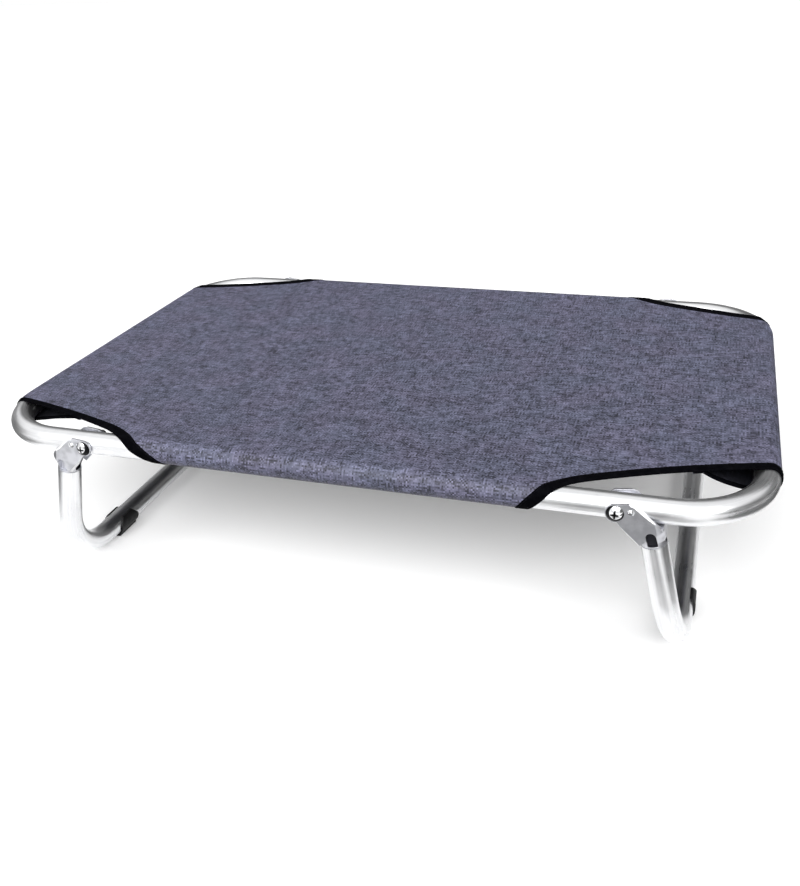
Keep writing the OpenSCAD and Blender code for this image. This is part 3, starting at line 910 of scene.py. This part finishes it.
def onOutline(edge, make):
    # true for an edge of a cheek's outer face that is part of its outline
    for vert in edge.verts:
        out, down = alongLeg(vert.co.x, vert.co.z)
        offFace = abs(abs(abs(vert.co.y) - halfWidth) - castFork)
        inLobe = math.hypot(out + legOffset, down) < make["lobe"]
        atPocket = abs(out) < make["pocket"] and down > pocketTop
        onTop = out + legOffset < make["top"][0] and down < make["top"][1]
        if offFace > make["nearFace"] or inLobe or atPocket or onTop:
            return False
    return True


def sharpEdges(shape):
    return [edge for edge in shape.edges if edge.is_manifold and edge.calc_face_angle() > sharpAngle]


def roundEdges(shape, edges, width, steps, slot):
    made = bmesh.ops.bevel(shape, geom=edges, offset=width, offset_type="OFFSET", segments=steps,
                           profile=0.5, affect="EDGES", clamp_overlap=False, material=slot)
    return set(made["edges"])


def makeRounded(node, width, steps):
    # a copy of a node's mesh, joined up, its flat faces merged and its sharp edges rounded
    source = cadNodes[node].data
    places = np.empty(3 * len(source.vertices), np.float32)
    source.vertices.foreach_get("co", places)
    corners = np.empty(len(source.loops), np.int32)
    source.loops.foreach_get("vertex_index", corners)
    points, where = np.unique(np.round(places.reshape(-1, 3).astype(float), 7), axis=0, return_inverse=True)
    triangles = where.reshape(-1)[corners].reshape(-1, 3)
    distinct = (triangles != np.roll(triangles, 1, axis=1)).all(axis=1)
    mesh = bpy.data.meshes.new(node + "_rounded")
    mesh.from_pydata(points.tolist(), [], triangles[distinct].tolist())
    shape = bmesh.new()
    shape.from_mesh(mesh)
    bmesh.ops.dissolve_limit(shape, angle_limit=flatAngle, verts=shape.verts, edges=shape.edges)
    outline = [edge for edge in sharpEdges(shape) if onOutline(edge, outlineRound)]
    # the outline's wider round takes slot 1, the painted edge highlight
    done = roundEdges(shape, outline, outlineRound["width"], outlineRound["steps"], 1)
    roundEdges(shape, [edge for edge in sharpEdges(shape) if edge not in done], width, steps, -1)
    bmesh.ops.triangulate(shape, faces=[face for face in shape.faces if len(face.verts) > 4])
    shape.to_mesh(mesh)
    shape.free()
    mesh.polygons.foreach_set("use_smooth", np.ones(len(mesh.polygons), bool))
    mesh.set_sharp_from_angle(angle=shadeAngle)
    mesh.materials.append(source.materials[0])
    mesh.materials.append(castEdge)
    piece = bpy.data.objects.new(node + "_rounded", mesh)
    bpy.context.scene.collection.objects.link(piece)
    return piece


for corner in cornerSigns:
    for ending, (width, steps, slotName) in rounding.items():
        piece = makeRounded(corner + "_" + ending, width, steps)
        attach(piece, corner.split("_")[0] + "_leg")
        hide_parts(corner + "_" + ending)
print("castings and feet rounded")

# Studio: white floor and sky, two broad suns, and cards that only mirrors see, glowing sheets that paint
# dark and bright reflections; the dark card under the cot is painted shade of the floor there. A card has
# one corner, two sides, the share of it that fades out at each edge, and its grey
studio = {
    "floorSize": 40.0,
    "floorTone": 0.90,
    "floorBounce": 0.12,
    "floorGlow": 0.17,
    "sky": 0.35,
    "suns": {"leftSun": (-0.20, -1.10, 1.0), "rightSun": (0.62, -1.10, 1.0)},
    "sunStrength": 2.15,
    "sunAngle": 40.0,
    "cards": {
        "underCard": {"corner": (-0.36, -0.16, 0.001), "sides": ((0.70, 0, 0), (0, 0.46, 0)),
                      "fade": 0.08, "grey": 0.01},
        "edgeCard": {"corner": (0.05, -0.35, 0.0015), "sides": ((0.25, 0, 0), (0, 0.19, 0)),
                     "fade": 0.10, "grey": 1.2},
        "rightCard": {"corner": (0.54, -0.65, 0.001), "sides": ((1.0, 0, 0), (0, 1.3, 0)),
                      "fade": 0.08, "grey": 0.12},
        "frontCard": {"corner": (0.19, -1.00, 0.001), "sides": ((0.32, 0, 0), (0, 0.64, 0)),
                      "fade": 0.12, "grey": 0.55},
        "foreCard": {"corner": (-0.05, -2.0, 0.0015), "sides": ((0.60, 0, 0), (0, 1.55, 0)),
                     "fade": 0.22, "grey": 0.15},
        "foreWall": {"corner": (-0.1, -2.2, -0.8), "sides": ((0.75, 0, 0), (0, 0, 2.4)),
                     "fade": 0.25, "grey": 0.20},
        "leftCard": {"corner": (-2.2, -0.75, 0.001), "sides": ((1.66, 0, 0), (0, 1.6, 0)),
                     "fade": 0.10, "grey": 0.15},
        "leftWall": {"corner": (-2.2, -1.2, -0.4), "sides": ((0, 3.7, 0), (0, 0, 1.4)),
                     "fade": 0.20, "grey": 0.15},
        "rearCard": {"corner": (-2.0, 0.50, 0.001), "sides": ((4.0, 0, 0), (0, 1.9, 0)),
                     "fade": 0.10, "grey": 0.25},
        "backWall": {"corner": (-4.0, 2.5, -0.7), "sides": ((8.0, 0, 0), (0, 0, 4.6)),
                     "fade": 0.15, "grey": 0.14},
        "rightWall": {"corner": (2.0, -2.0, -0.4), "sides": ((0, 4.6, 0), (0, 0, 1.6)),
                      "fade": 0.15, "grey": 0.15},
    },
}


def seenDirectly(start):
    # 1 for rays from the camera, a mirror or glass, 0 for light that falls on things
    path = start.node("ShaderNodeLightPath", {}, {})
    rays = [Wire(start.tree, path.socket.node.outputs[key])
            for key in ("Is Camera Ray", "Is Glossy Ray", "Is Transmission Ray")]
    return most(most(rays[0], rays[1]), rays[2])


def makeSheet(name, corner, sides, material):
    low, across, up = np.array(corner), np.array(sides[0]), np.array(sides[1])
    share = np.array([[0, 0], [1, 0], [1, 1], [0, 1]], float)
    points = low + share[:, :1] * across + share[:, 1:] * up
    sheet = newMesh(name, points, [np.array([[0, 1, 2, 3]])], share, [material])
    return sheet


def makeFloor(make):
    wide = make["floorSize"]
    material, shader, start = startMaterial("floorPaper", {"Roughness": 1.0, "Specular IOR Level": 0.0})
    direct = seenDirectly(start)
    feed(shader, "Base Color", direct * (make["floorTone"] - make["floorBounce"]) + make["floorBounce"])
    shader.inputs["Emission Color"].default_value = (1, 1, 1, 1)
    feed(shader, "Emission Strength", direct * make["floorGlow"])
    makeSheet("floor", (-wide / 2, -wide / 2, 0), ((wide, 0, 0), (0, wide, 0)), material)


def makeCard(name, make):
    # an even grey glow, a painted reflection, that fades out at its edges and shows in glossy surfaces only
    fixed = {"Roughness": 1.0, "Specular IOR Level": 0.0, "Base Color": (0, 0, 0, 1),
             "Emission Color": (make["grey"],) * 3 + (1,), "Emission Strength": 1.0}
    material, shader, start = startMaterial(name, fixed)
    across, up, _ = split(start.node("ShaderNodeUVMap", {"uv_map": "flatCut"}, {}))
    fade = make["fade"]
    inAcross = ease(across, 0.0, fade) * ease(across, 1.0, 1.0 - fade)
    feed(shader, "Alpha", inAcross * ease(up, 0.0, fade) * ease(up, 1.0, 1.0 - fade))
    card = makeSheet(name, make["corner"], make["sides"], material)
    card.visible_camera = False
    card.visible_diffuse = False
    card.visible_shadow = False
    card.visible_transmission = False


def makeSky(level):
    world = bpy.data.worlds.new("studioSky")
    world.use_nodes = True
    back = world.node_tree.nodes["Background"]
    back.inputs["Color"].default_value = (1, 1, 1, 1)
    start = Wire(world.node_tree)
    feed(back, "Strength", seenDirectly(start) * (1 - level) + level)
    bpy.context.scene.world = world


def makeSun(name, comesFrom, make):
    light = bpy.data.lights.new(name, "SUN")
    light.energy = make["sunStrength"]
    light.angle = math.radians(make["sunAngle"])
    lamp = bpy.data.objects.new(name, light)
    back = np.array(comesFrom) / np.linalg.norm(comesFrom)
    side = np.cross([0, 1, 0], back)
    side /= np.linalg.norm(side)
    lamp.matrix_world = Matrix(np.stack([side, np.cross(back, side), back], 1).tolist()).to_4x4()
    bpy.context.scene.collection.objects.link(lamp)


makeFloor(studio)
for name, make in studio["cards"].items():
    makeCard(name, make)
makeSky(studio["sky"])
for name, comesFrom in studio["suns"].items():
    makeSun(name, comesFrom, studio)
bpy.context.scene.view_settings.view_transform = "Standard"
print("studio set")
